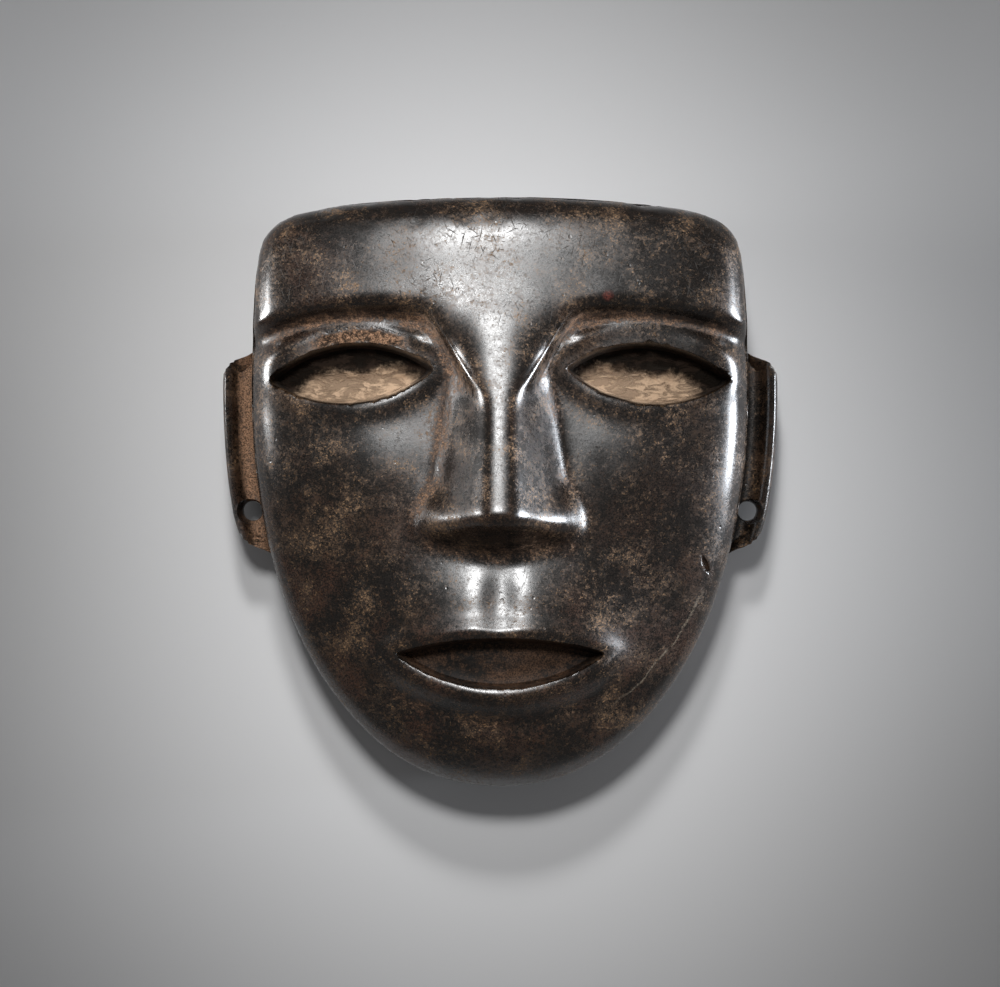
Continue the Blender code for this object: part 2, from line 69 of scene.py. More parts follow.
TOP_Y = HEIGHT / 2
CHIN_Y = -HEIGHT / 2
TEMPLE_Y = 0.036            # the widest level, and the centre that the rings are laid around
TOP_POWER = 9.0             # a squarish top
JAW_POWER = 2.12            # a jaw close to an ellipse
TOP_NARROWING = 0.035       # how much less wide the top is
TOP_BOW = 0.0055            # the corners of the top lie this much lower than its middle
BACK_NARROWING = 0.03       # how much smaller the outline is at the back than at SIDE_Z
FOREHEAD_POWER = 4.8        # the block's section across: squarish at the forehead
CHIN_POWER = 2.4            # and round at the chin
CHEEK_Y = -0.050            # it changes from the one to the other between this level
FOREHEAD_Y = 0.070          # and this one
END_POWER = 2.1             # the block's rounding down to the chin
EDGE_SHARE = 0.6            # the carving fades out over this part of the rounding over to the side

# The face in thirds: brow, foot of the nose, chin
THIRD = 0.080
BROW_Y = 0.060
NOSE_FOOT_Y = BROW_Y - THIRD
MOUTH_Y = NOSE_FOOT_Y - 0.42 * THIRD
TIP_Y = NOSE_FOOT_Y + 0.011

# Eyes and mouth: almonds between two arcs
EYE_X = 0.0500
EYE_Y = 0.0400
EYE_HALF = 0.0280
EYE_UP = 0.0100
EYE_DOWN = 0.0098
EYE_DROOP = 0.06
MOUTH_HALF = 0.0350
MOUTH_UP = 0.0052
MOUTH_DOWN = 0.0112
SOCKET_DRAFT = 0.0012       # how much smaller a hollow is at its floor

# Brow and the sunk fields under it
BROW_ARCH = 0.0050          # the brow's lower edge rises this far over BROW_Y
ARCH_X = 0.0440             # at this distance from the middle
BROW_FALL = 0.0070          # and falls this far by BROW_SPAN to either side
BROW_SPAN = 0.0400
BROW_SWING = 0.0240         # how far it swings down beside the nose
SWING_FROM, SWING_TO = 0.0280, 0.0050       # between these distances from the middle
ORBIT_DEPTH = 0.0085
ORBIT_STEP = 0.0068         # the height over which the brow drops to them
ORBIT_FOOT = -0.0700        # the level by the chin where they have run out
ORBIT_FADE = 0.1150         # the height over which they do
TEMPLE_X = 0.0560           # they get shallower to the temples from here
TEMPLE_REACH = 0.0280       # over this distance
TEMPLE_SHARE = 0.35         # by this share
GUTTER = Roll(-0.0026, 0.0080, 0.0042)      # the groove close under the brow
GUTTER_FROM, GUTTER_TO = 0.0220, 0.0340     # it deepens between these distances from the middle

# Rolls along the rims of the eyes and the mouth, and mounds of the cheeks and chin
LID_CREST = Roll(0.0036, 0.0066, 0.0032)
LOWER_LID = Roll(0.0016, 0.0016, 0.0040)
LID_SWELL = 0.0020          # of the whole upper lid
LID_REACH = 0.0090          # out to this distance from the eye's rim
LID_FROM, LID_TO = 0.0370, 0.0210           # the lids grow between these distances from the eye's middle
UPPER_LIP = Roll(0.0022, 0.0030, 0.0034)
LOWER_LIP = Roll(0.0036, 0.0036, 0.0040)
LIP_GROOVE = Roll(-0.0026, 0.0125, 0.0042)
LIP_BOW = 0.0012            # the dip in the middle of the upper lip
LIP_FROM, LIP_TO = 0.0460, 0.0320           # the lips grow between these distances from the middle
CHEEK_BONE = Mound(0.0030, 0.052, 0.012, 0.028, 0.024)
CHEEK_HOLLOW = Mound(-0.0016, 0.048, -0.048, 0.018, 0.026)
FURROW = Mound(-0.0013, 0, NOSE_FOOT_Y - 0.014, 0.0055, 0.010)
CHIN_BALL = Mound(0.0040, 0, -0.084, 0.026, 0.014)
MUZZLE = Mound(0.0062, 0, MOUTH_Y + 0.003, 0.043, 0.027)

# Nose
NOSE_HALF = 0.0125          # half its width between the eyes
NOSE_SPREAD = 0.0100        # how much wider it is at the tip
NOSE_ROOT = 0.1000          # how fast it spreads out up the forehead
ROOT_SOFT = 0.15            # how gently it starts, as a part of its length
ROOT_FROM, ROOT_TO = 0.0140, 0.0030         # the sunk fields end between these distances from its ridge
WING = Mound(0.0148, 0.0155, TIP_Y - 0.0010, 0.0125, 0.0150)
NOSE_BACK = 2.8             # the power of its section: the higher, the broader its back
NOSE_UNDERCUT = 2.6         # the slope of the nose's underside
FOOT_ARCH = 0.0035          # its foot rises this far out at the wings
FOOT_X = 0.0240             # at this distance from the middle
BRIDGE_BLEND = 0.35         # how softly its back runs out on the cheeks, as a part of its height
WING_BLEND = 0.0060         # radius of the valley between its back and its wings
TIP_ROUND = 0.0090          # radius of its tip
FOOT_BLEND = 0.0030         # and of the valley under it

# Ears
EAR_TOP = 0.0515
EAR_BOTTOM = -0.0242
EAR_SLOPE = 0.35            # how steeply its ends come in as it reaches out
EAR_CORNER = 0.0045         # radius of its outer corners
EAR_REACH = 0.0115
EAR_FRONT = 0.0250
EAR_BACK = 0.0035
EAR_CHANNEL = 0.0055        # depth of the channel inside the rim
EAR_END = 0.0032            # the height over which an ear's end slopes in
CHANNEL_FOOT = 0.52         # the channel's floor ends at this part of the reach
CHANNEL_RIM = 0.74          # and its rim starts at this one
EAR_ROUND = 0.0026          # rounding of the ear's edges
EAR_TAPER = 0.15            # how much narrower it gets below the lobe's hole
HOLE_Y = -0.0060
HOLE_OUT = 0.0044           # from the side wall to the hole's middle
HOLE_RADIUS = 0.0033        # at the waist, where the two drillings meet
HOLE_SLOPE = 0.06           # how fast each drilling widens
HOLE_BEVELS = (0, 0, 0.0007, 0.0014)        # how much wider each of its rings is worn

# Back
FOOT = 0.0025               # radius of the edge that the mask rests inside
HOLLOW_X = 0.063
HOLLOW_Y = 0.075
HOLLOW_MIDDLE_Y = 0.003
HOLLOW_POWER = 2.5
HOLLOW_FULLNESS = 0.8       # the power of the bowl's section: the lower, the fuller

# Fineness of the skin
COLUMNS = 560
FRONT_RINGS = 92
SHOULDER_RINGS = 26
EAR_RINGS = 34
HOLLOW_RINGS = 9
RIM_COLUMNS = 150           # round an eye or the mouth
FLOOR_RINGS = 12            # over the floor of an eye or the mouth
DRILL_COLUMNS = 40
HEIGHT_GRID = 0.0005        # step of the even grid on which hollows and ridges are found
NEAR_BLUR = 0.0022          # reach of the blur that finds creases
WIDE_BLUR = 0.0070          # and of the one that finds wide hollows
SHARP_ANGLE = 48            # edges over this many degrees are shaded sharp

# Wear
HAND_WAVE = 0.00022         # the slow waviness that hand grinding leaves
RIM_CHIP = 0.0011           # how far the eyes' rims are chipped out
EDGE_CHIP = 0.00055         # and how deep the edge of the cut top is
EDGE_ROUNDING = 0.60        # the share of each edge's sharpness that handling has taken
MOST_ROUNDED = 0.0012       # the most that an edge stands out from its blur
SPALL_DEPTH = 0.00060       # the flaked band over one eye
LIP_CHIP = 0.00035
EYE_ROUGH = 0.00060         # unevenness of the eyes' floors, which were never polished
MOUTH_ROUGH = 0.00015
NICK = (0.0695, -0.0240)    # a short gouge on one cheek
NICK_HALF = (0.0034, 0.0011)
NICK_DEPTH = 0.0013
NICK_RUN = np.radians(-68)  # its direction, from the X axis
VEIN_CENTRE = (-0.0310, 0.0153, 0)
VEIN_RADIUS = 0.111         # a pale hairline runs down the jaw on this arc

# Colours of the stone, as linear light
BLACK = (0.0072, 0.0050, 0.0036, 1)
UMBER = (0.034, 0.020, 0.012, 1)
RED_BROWN = (0.050, 0.022, 0.012, 1)
GREY = (0.038, 0.034, 0.030, 1)
FLECK = (0.060, 0.034, 0.018, 1)
TAN = (0.190, 0.112, 0.056, 1)
# the dark of the eyes' floors: painted shade over their upper parts and ends, and dark mottles among the
# cream
SHADE = (0.012, 0.008, 0.005, 1)
SOIL = (0.050, 0.030, 0.020, 1)
RED = (0.110, 0.026, 0.018, 1)
EARTH = (0.26, 0.150, 0.090, 1)
CREAM = (0.54, 0.38, 0.255, 1)
RUST = (0.060, 0.032, 0.018, 1)
SCRATCH_GREY = (0.085, 0.075, 0.065, 1)
VEIN_GREY = (0.16, 0.13, 0.095, 1)
FLOOR_GREY = (0.74, 0.74, 0.745, 1)
RED_SPOT = (0.0360, 0.0660, 0.0582)

# Scratches: angle in degrees, length, gap and width
SCRATCHES = (
    (78, 0.034, 0.0018, 0.00019), (112, 0.028, 0.0022, 0.00018), (24, 0.026, 0.0024, 0.00018),
    (-38, 0.022, 0.0022, 0.00020), (62, 0.012, 0.0016, 0.00016), (-8, 0.010, 0.0017, 0.00016))
STONE_IOR = 1.68
EARTH_ROUGHNESS = 0.82      # of earth, flaked stone and the eyes' floors
MOUTH_ROUGHNESS = 0.60

# Floor and camera
FLOOR_HALF = 3.0
FLOOR_DROP = 0.0002         # below the mask's rim
CAMERA_HEIGHT = 1.169
LENS = 120
SENSOR = 36
PANEL_SPREAD = 30           # degrees


def ramp(value, start, end):
    """0 before the start, 1 past the end, and an S-curve between."""
    share = np.clip((value - start) / (end - start), 0, 1)
    return share * share * (3 - 2 * share)


def bump(value, middle, half):
    """A bell of height 1 around the middle."""
    return np.exp(-((value - middle) / half) ** 2)


def roll(distance, form):
    """A rounded ridge or groove at its own distance from a rim."""
    return form.height * bump(distance, form.at, form.half)


def mound(x, y, form):
    """A bell on both sides of the face."""
    return form.height * bump(np.abs(x), form.x, form.half_x) * bump(y, form.y, form.half_y)


def larger(a, b, radius):
    """The larger of two heights, with the valley between them filled to a radius."""
    share = np.clip(0.5 + 0.5 * (a - b) / radius, 0, 1)
    return b + (a - b) * share + radius * share * (1 - share)


def smaller(a, b, radius):
    """The smaller of two heights, with the crest between them rounded to a radius."""
    return -larger(-a, -b, radius)


def outline(turn):
    """Half a squarish superellipse above the temples and half a nearly round one below them."""
    c, s = np.cos(turn), np.sin(turn)
    power = np.where(s >= 0, TOP_POWER, JAW_POWER)
    reach = np.where(s >= 0, TOP_Y - TEMPLE_Y, TEMPLE_Y - CHIN_Y)
    x = HALF_WIDTH * np.sign(c) * np.abs(c) ** (2 / power)
    y = TEMPLE_Y + reach * np.sign(s) * np.abs(s) ** (2 / power)
    return x, y


def spaced_outline(columns):
    """Points spread evenly round the outline from the middle of the top, but closer at the ears' ends."""
    turn = np.pi / 2 + np.linspace(0, 2 * np.pi, 8001)
    x, y = outline(turn)
    step = np.hypot(np.diff(x), np.diff(y))
    level = (y[1:] + y[:-1]) / 2
    crowd = bump(level, EAR_TOP, 0.007) + bump(level, EAR_BOTTOM, 0.007)
    length = np.concatenate([[0], np.cumsum(step * (1 + 1.6 * crowd))])
    at = np.arange(columns) / columns * length[-1]
    return np.interp(at, length, x), np.interp(at, length, y)


def half_width_at(y):
    """Half the width of the outline at a level."""
    above = y >= TEMPLE_Y
    power = np.where(above, TOP_POWER, JAW_POWER)
    reach = np.where(above, TOP_Y - TEMPLE_Y, TEMPLE_Y - CHIN_Y)
    along = np.clip(np.abs(y - TEMPLE_Y) / reach, 0, 1)
    return HALF_WIDTH * (1 - along ** power) ** (1 / power)


def rounding(x, y):
    """1 in the middle of the block and 0 at its outline: how it rounds over to the side wall."""
    across_power = CHIN_POWER + (FOREHEAD_POWER - CHIN_POWER) * ramp(y, CHEEK_Y, FOREHEAD_Y)
    along_power = np.where(y >= TEMPLE_Y, TOP_POWER, END_POWER)
    reach = np.where(y >= TEMPLE_Y, TOP_Y - TEMPLE_Y, TEMPLE_Y - CHIN_Y)
    across = np.clip(np.abs(x) / np.maximum(half_width_at(y), 1e-9), 0, 1)
    along = np.clip(np.abs(y - TEMPLE_Y) / reach, 0, 1)
    side = (1 - across ** across_power) ** (1 / across_power)
    end = (1 - along ** along_power) ** (1 / along_power)
    return side * end


def dome(x, y):
    """The plain block of the head: round across, flat up the forehead, and rounding in to the chin."""
    across = np.clip(np.abs(x) / np.maximum(half_width_at(y), 1e-9), 0, 1)
    up = np.clip((y - TEMPLE_Y) / (TOP_Y - TEMPLE_Y), 0, 1)
    return SIDE_Z + (DOME - CROWN * across ** 2 - FOREHEAD_FALL * up ** 2) * rounding(x, y)


def arc_distance(x, y, half, rise):
    """Distance to the disc whose edge passes both corners (-half and half, 0) and rises by rise."""
    radius = (half ** 2 + rise ** 2) / (2 * abs(rise))
    centre = rise - np.sign(rise) * radius
    return np.hypot(x, y - centre) - radius


def almond(x, y, half, up, down, corner):
    """Distance to an almond between two arcs, and a weight from 0 at its lower arc to 1 at its upper."""
    over = arc_distance(x, y, half, up)
    under = arc_distance(x, y, half, -down)
    return larger(over, under, corner), ramp(over - under, -0.006, 0.006)


def eye(x, y):
    """Distance to the nearer eye's rim, negative in its hollow, and the weight of its upper side."""
    across = np.abs(x) - EYE_X
    along = y - EYE_Y + EYE_DROOP * across
    return almond(across, along, EYE_HALF, EYE_UP, EYE_DOWN, 0.005)


def mouth(x, y):
    """Distance to the mouth's rim, and the weight of the upper lip."""
    bow = LIP_BOW * bump(x, 0, 0.007) * ramp(y - MOUTH_Y, -0.002, 0.004)
    return almond(x, y - MOUTH_Y + bow, MOUTH_HALF, MOUTH_UP, MOUTH_DOWN, 0.003)


def brow_line(x):
    """The lower edge of the brow: an arch that swings down the side of the nose."""
    a = np.abs(x)
    arch = BROW_Y + BROW_ARCH - BROW_FALL * ((a - ARCH_X) / BROW_SPAN) ** 2
    return arch - BROW_SWING * ramp(a, SWING_FROM, SWING_TO)


def orbits(x, y):
    """The sunk fields that hold the eyes: a step under the brow that fades down the cheek."""
    a = np.abs(x)
    below = brow_line(x) - y
    field = ORBIT_DEPTH * ramp(below, 0, ORBIT_STEP) * ramp(y, ORBIT_FOOT, ORBIT_FOOT + ORBIT_FADE)
    gutter = roll(below, GUTTER) * ramp(a, GUTTER_FROM, GUTTER_TO)
    nose_root = ramp(a, ROOT_FROM, ROOT_TO) * ramp(y, NOSE_FOOT_Y - 0.004, NOSE_FOOT_Y + 0.008)
    temple = TEMPLE_SHARE * ramp(a, TEMPLE_X, TEMPLE_X + TEMPLE_REACH)
    return (gutter - field) * (1 - nose_root) * (1 - temple)


def eyelids(x, y):
    """A crest over the upper lid, a soft swell around the eye and a thin lower lid."""
    d, upper = eye(x, y)
    ends = ramp(np.abs(np.abs(x) - EYE_X), LID_FROM, LID_TO)
    crest = roll(d, LID_CREST) * upper * ends
    swell = LID_SWELL * ramp(d, LID_REACH, 0) * upper
    return crest + swell + roll(d, LOWER_LID) * (1 - upper)


def muzzle(x, y):
    """The soft swell that carries the mouth, with a flatter top than a mound."""
    r = np.hypot(x / MUZZLE.half_x, (y - MUZZLE.y) / MUZZLE.half_y)
    return MUZZLE.height * np.exp(-r ** 3)


def lips(x, y):
    """A rolled lip above and a fuller one below, and the groove under it."""
    d, upper = mouth(x, y)
    ends = ramp(np.abs(x), LIP_FROM, LIP_TO)
    return (roll(d, UPPER_LIP) * upper + (roll(d, LOWER_LIP) + roll(d, LIP_GROOVE)) * (1 - upper)) * ends


def nose(x, y):
    """Height of the nose over the block: a round-backed wedge that widens to a full tip and two wings."""
    a = np.abs(x)
    down = (BROW_Y - y) / (BROW_Y - TIP_Y)
    rise = NOSE_RISE * (np.hypot(down, ROOT_SOFT) + down) / 2
    root = NOSE_ROOT * (np.hypot(down, ROOT_SOFT) - down) / 2
    half = NOSE_HALF + NOSE_SPREAD * np.clip(down, 0, 1.3) + root
    side = (a / half) ** NOSE_BACK
    bridge = rise * larger(1 - side, np.zeros_like(side), BRIDGE_BLEND)
    away = ((a - WING.x) / WING.half_x) ** 2 + ((y - WING.y) / WING.half_y) ** 2
    both = larger(bridge, WING.height * (1 - away), WING_BLEND)
    foot = NOSE_FOOT_Y + FOOT_ARCH * (a / FOOT_X) ** 2
    under = NOSE_UNDERCUT * (y - foot)
    flat = np.zeros_like(both)
    cut = [larger(smaller(height, under, TIP_ROUND), flat, FOOT_BLEND) for height in (both, flat)]
    return cut[0] - cut[1]


def relief(x, y):
    """Everything that is carved on the plain block, but for the hollows of the eyes and the mouth."""
    mounds = sum(mound(x, y, form) for form in (CHEEK_BONE, CHEEK_HOLLOW, FURROW, CHIN_BALL))
    return orbits(x, y) + eyelids(x, y) + mounds + muzzle(x, y) + lips(x, y) + nose(x, y)


def face(x, y):
    """Height of the carved face, before its eyes and mouth are hollowed out."""
    return dome(x, y) + relief(x, y) * ramp(rounding(x, y), 0, EDGE_SHARE)


def front_rows(ox, oy):
    """Rings from the middle of the face to the side wall, spaced evenly over the flat and the shoulder."""
    flat = np.arange(1, FRONT_RINGS + 1) / FRONT_RINGS
    fall = 1 - np.arange(1, SHOULDER_RINGS + 1) / SHOULDER_RINGS
    a = np.concatenate([flat, np.ones(SHOULDER_RINGS)])
    b = np.concatenate([np.ones(FRONT_RINGS), fall])
    rho = (a / (a ** 3 + b ** 3) ** (1 / 3))[:, None]
    x = rho * ox
    y = TEMPLE_Y + rho * (oy - TEMPLE_Y)
    return x, y, face(x, y)


def ear_section(rings):
    """Down the side wall, out across the ear's channel and rim, round its edge and back in behind it."""
    corners = np.array([
        (0, SIDE_Z),
        (0, EAR_FRONT - EAR_CHANNEL),
        (CHANNEL_FOOT * EAR_REACH, EAR_FRONT - EAR_CHANNEL),
        (CHANNEL_RIM * EAR_REACH, EAR_FRONT),
        (EAR_REACH, EAR_FRONT),
        (EAR_REACH, EAR_BACK),
        (0, EAR_BACK),
        (0, FOOT),
    ])
    steps = np.linalg.norm(np.diff(corners, axis=0), axis=1)
    length = np.concatenate([[0], np.cumsum(steps)])
    even = np.linspace(0, length[-1], 1001)
    path = np.stack([np.interp(even, length, corners[:, k]) for k in (0, 1)], 1)
    window = int(EAR_ROUND / even[1])
    padded = np.pad(path, ((window, window), (0, 0)), mode="reflect", reflect_type="odd")
    kernel = np.ones(2 * window + 1) / (2 * window + 1)
    path = np.stack([np.convolve(padded[:, k], kernel, mode="valid") for k in (0, 1)], 1)
    at = np.linspace(0, length[-1], rings + 1)[1:]
    return np.stack([np.interp(at, even, path[:, k]) for k in (0, 1)], 0)


def side_rows(ox, oy):
    """Rings down the side wall, which swing out to the ears' section between the ears' ends."""
    out, z_ear = ear_section(EAR_RINGS)[:, :, None]
    z_wall = np.linspace(SIDE_Z, FOOT, EAR_RINGS + 1)[1:, None]
    taper = 1 - EAR_TAPER * ramp(oy, HOLE_Y, EAR_BOTTOM)
    past_corner = np.clip(out - EAR_REACH + EAR_CORNER, 0, EAR_CORNER)
    end = EAR_SLOPE * out + EAR_CORNER - np.sqrt(EAR_CORNER ** 2 - past_corner ** 2)
    top = EAR_TOP - end
    bottom = EAR_BOTTOM + end
    ear = ramp(oy, top, top - EAR_END) * ramp(oy, bottom, bottom + EAR_END)
    x = ox + np.sign(ox) * out * taper * ear
    z = z_wall + (z_ear - z_wall) * ear
    return x, oy * np.ones_like(x), z


def back_rows(ox, oy):
    """Round the foot, across the flat rim that the mask rests on, and up into the bowl of the back."""
    quarter = np.linspace(0, np.pi / 2, 5)[1:, None]
    radius = np.hypot(ox, oy - TEMPLE_Y)
    inset = 1 - FOOT * (1 - np.cos(quarter)) / radius
    x = [ox * inset]
    y = [TEMPLE_Y + (oy - TEMPLE_Y) * inset]
    z = [(FOOT - FOOT * np.sin(quarter)) * np.ones_like(ox)]
    turn = np.arctan2((oy - HOLLOW_MIDDLE_Y) / HOLLOW_Y, ox / HOLLOW_X)
    c, s = np.cos(turn), np.sin(turn)
    size = (np.abs(c) ** HOLLOW_POWER + np.abs(s) ** HOLLOW_POWER) ** (-1 / HOLLOW_POWER)
    hollow_x = HOLLOW_X * size * c
    hollow_y = HOLLOW_Y * size * s
    share = np.linspace(0, 1, 4)[1:, None]
    x.append(x[0][-1] + share * (hollow_x - x[0][-1]))
    y.append(y[0][-1] + share * (hollow_y + HOLLOW_MIDDLE_Y - y[0][-1]))
    z.append(np.zeros((3, len(ox))))
    rise = np.linspace(0, np.pi / 2, HOLLOW_RINGS + 1)[1:-1, None]
    x.append(hollow_x * np.cos(rise) ** HOLLOW_FULLNESS)
    y.append(hollow_y * np.cos(rise) ** HOLLOW_FULLNESS + HOLLOW_MIDDLE_Y)
    z.append(HOLLOW_DEPTH * np.sin(rise) * np.ones_like(ox))
    return [np.concatenate(rows) for rows in (x, y, z)]


def bent(x, y, z):
    """The whole block narrowed a little to the back and to the top, and the top's edge bowed."""
    size = 1 - BACK_NARROWING * np.clip(1 - z / SIDE_Z, 0, 1)
    x = x * size
    y = TEMPLE_Y + (y - TEMPLE_Y) * size
    rise = np.clip((y - TEMPLE_Y) / (TOP_Y - TEMPLE_Y), 0, 1)
    x = x * (1 - TOP_NARROWING * rise ** 1.5)
    y = y - TOP_BOW * rise ** 3 * (x / HALF_WIDTH) ** 2
    return x, y, z


def almond_edge(turn, half, up, down, corner):
    """Distance from an almond's middle to its edge: the nearer of its two arcs, rounded where they meet."""
    reach = []
    for rise in (up, -down):
        radius = (half ** 2 + rise ** 2) / (2 * abs(rise))
        centre = rise - np.sign(rise) * radius
        along = np.sin(turn) * centre
        reach.append(along + np.sqrt(along ** 2 + radius ** 2 - centre ** 2))
    return smaller(reach[0], reach[1], corner)


def value_noise(points, size, seed):
    """Random numbers from -1 to 1 on a cubic lattice of this size, blended between its corners."""
    table = np.random.default_rng(seed).uniform(-1, 1, (32, 32, 32))
    place = points / size
    cell = np.floor(place).astype(int)
    share = place - cell
    share = share * share * (3 - 2 * share)
    total = np.zeros(points.shape[:-1])
    for corner in np.ndindex(2, 2, 2):
        weight = np.prod(np.where(corner, share, 1 - share), axis=-1)
        at = (cell + corner) % 32
        total += weight * table[at[..., 0], at[..., 1], at[..., 2]]
    return total


def rough_noise(points, size, seed, layers=3):
    """Layers of value noise, each half as large and half as high as the one before."""
    return sum(value_noise(points, size / 2 ** k, seed + k) / 2 ** k for k in range(layers))


def skin(name, rings, front_pole, back_pole):
    """Joins rings of points into a closed skin: quads between the rings, and a fan at each pole."""
    count, columns, _ = rings.shape
    points = np.concatenate([rings.reshape(-1, 3), [front_pole, back_pole]])
    column = np.arange(columns)
    after = (column + 1) % columns
    row = np.arange(count - 1)[:, None] * columns
    quads = np.stack([row + column, row + columns + column, row + columns + after, row + after], -1)
    last = (count - 1) * columns
    front = np.stack([np.full(columns, count * columns), column, after], -1)
    back = np.stack([np.full(columns, count * columns + 1), last + after, last + column], -1)
    corners = np.concatenate([quads.ravel(), front.ravel(), back.ravel()])
    sides = np.concatenate([np.full(quads.size // 4, 4), np.full(2 * columns, 3)])
    mesh = bpy.data.meshes.new(name)
    mesh.vertices.add(len(points))
    mesh.vertices.foreach_set("co", points.astype(np.float32).ravel())
    mesh.loops.add(len(corners))
    mesh.loops.foreach_set("vertex_index", corners.astype(np.int32))
    mesh.polygons.add(len(sides))
    mesh.polygons.foreach_set("loop_start", (np.cumsum(sides) - sides).astype(np.int32))
    mesh.update(calc_edges=True)
    return mesh


def new_object(name, mesh):
    """An object of this mesh in the scene."""
    thing = bpy.data.objects.new(name, mesh)
    bpy.context.scene.collection.objects.link(thing)
    return thing


def even_almond(half, up, down):
    """Points spread evenly round an almond's edge, and the direction out of it at each."""
    turn = np.linspace(0, 2 * np.pi, 4001)
    edge = almond_edge(turn, half, up, down, 0.0025)
    x, y = edge * np.cos(turn), edge * np.sin(turn)
    length = np.concatenate([[0], np.cumsum(np.hypot(np.diff(x), np.diff(y)))])
    at = np.arange(RIM_COLUMNS) / RIM_COLUMNS * length[-1]
    x, y = np.interp(at, length, x), np.interp(at, length, y)
    out_x = np.roll(y, -1) - np.roll(y, 1)
    out_y = np.roll(x, 1) - np.roll(x, -1)
    long = np.hypot(out_x, out_y)
    return x, y, out_x / long, out_y / long


def hollow_cutter(name, middle, size, droop, depth, chip, rough_floor, seed):
    """The space of an almond hollow: a rim that is rounded over and chipped, a wall, and a rough floor.

    The rings of the rim and the wall stand out from the almond's edge, and those of the floor shrink to
    its middle. Heights are from the face's surface above each point, and the floor rises a little to the
    lower rim.
    """
    edge_x, edge_y, out_x, out_y = even_almond(*size)
    rim = np.array([(2.0, 3.0), (1.1, 0.45), (0.60, 0.0), (0.30, -0.36), (0.10, -0.80), (0.0, -1.6)]) / 1000
    wall = np.array([(-0.45 * SOCKET_DRAFT, -0.55 * depth), (-SOCKET_DRAFT, -0.85 * depth)])
    out, height = np.concatenate([rim, wall])[:, :, None].transpose(1, 0, 2)
    on_rim = np.stack([middle[0] + edge_x, middle[1] + edge_y, np.zeros(RIM_COLUMNS)], -1)
    bite = np.maximum(rough_noise(on_rim, 0.0042, seed) - 0.22, 0) * chip
    out = out + bite * np.array([1, 1, 1, 1, 0.8, 0.5, 0, 0])[:, None]
    share = np.linspace(0.92, 0.06, FLOOR_RINGS)[:, None]
    across = np.concatenate([edge_x + out * out_x, edge_x * share])
    along = np.concatenate([edge_y + out * out_y, edge_y * share])
    height = np.concatenate([height * np.ones(RIM_COLUMNS), np.full((FLOOR_RINGS, RIM_COLUMNS), -depth)])
    x = middle[0] + across
    y = middle[1] + along - droop * across
    low = ramp(-along, -0.2 * size[2], 0.9 * size[2])
    rough = rough_noise(np.stack([x, y, height], -1), 0.0032, seed + 10)
    below = ramp(height, -0.45 * depth, -0.9 * depth)
    z = face(x, y) + height + below * (rough_floor * rough + 0.16 * depth * low)
    top_z = float(z[0].max()) + 0.002
    floor_z = float(z[-1].mean())
    rings = np.stack([x, y, z], -1)
    return new_object(name, skin(name, rings, (*middle, top_z), (*middle, floor_z)))


def drill_cutter(name, side, end):
    """One cone of a lobe's hole, from one face (1 front, -1 back) to past its middle."""
    turn = np.arange(DRILL_COLUMNS) / DRILL_COLUMNS * 2 * np.pi
    middle = (EAR_FRONT + EAR_BACK) / 2
    face_at = EAR_FRONT - EAR_CHANNEL - middle if end > 0 else middle - EAR_BACK
    along = np.array([-0.0015, face_at - 0.0010, face_at + 0.0010, face_at + 0.0110])[:, None]
    radius = HOLE_RADIUS + along * HOLE_SLOPE + np.array(HOLE_BEVELS)[:, None]
    if end > 0:
        along, radius = along[::-1], radius[::-1]
    x = side * (float(half_width_at(np.float64(HOLE_Y))) + HOLE_OUT) + radius * np.cos(turn)
    y = HOLE_Y + radius * np.sin(turn)
    z = middle + end * along * np.ones(DRILL_COLUMNS)
    shrink = 1 - BACK_NARROWING * np.clip(1 - z / SIDE_Z, 0, 1)
    rings = np.stack([x / shrink, TEMPLE_Y + (y - TEMPLE_Y) / shrink, z], -1)
    return new_object(name, skin(name, rings, rings[0].mean(0), rings[-1].mean(0)))


def nick_cutter():
    """A gouge shaped like a willow leaf, deepest in its middle, that lies along the face's surface."""
    turn = np.arange(32) / 32 * 2 * np.pi
    share = np.array([1.25, 1.0, 0.8, 0.55, 0.28])[:, None]
    height = np.array([0.0006, 0.0, -0.5 * NICK_DEPTH, -0.85 * NICK_DEPTH, -NICK_DEPTH])[:, None]
    along = share * NICK_HALF[0] * np.cos(turn)
    across = share * NICK_HALF[1] * np.sin(turn) * np.abs(np.sin(turn)) ** 0.35
    x = NICK[0] + along * np.cos(NICK_RUN) - across * np.sin(NICK_RUN)
    y = NICK[1] + along * np.sin(NICK_RUN) + across * np.cos(NICK_RUN)
    z = face(x, y) + height
    pole_z = float(z[-1].mean())
    rings = np.stack([x, y, z], -1)
    return new_object("nick", skin("nick", rings, (*NICK, float(z[0].max())), (*NICK, pole_z)))


def cut(block, cutters):
    """Takes the cutters out of a block and removes them."""
    for cutter in cutters:
        change = block.modifiers.new(cutter.name, "BOOLEAN")
        change.operation = "DIFFERENCE"
        change.solver = "EXACT"
        change.object = cutter
    done = block.evaluated_get(bpy.context.evaluated_depsgraph_get())
    mesh = bpy.data.meshes.new_from_object(done)
    block.modifiers.clear()
    block.data = mesh
    for cutter in cutters:
        bpy.data.objects.remove(cutter)


def blurred(height, reach):
    """A grid of heights smoothed with a bell of this reach, in metres."""
    rows, columns = height.shape
    turn_y = np.fft.fftfreq(rows, HEIGHT_GRID)[:, None]
    turn_x = np.fft.rfftfreq(columns, HEIGHT_GRID)[None, :]
    bell = np.exp(-2 * (np.pi * reach) ** 2 * (turn_x ** 2 + turn_y ** 2))
    return np.fft.irfft2(np.fft.rfft2(height) * bell, s=height.shape)


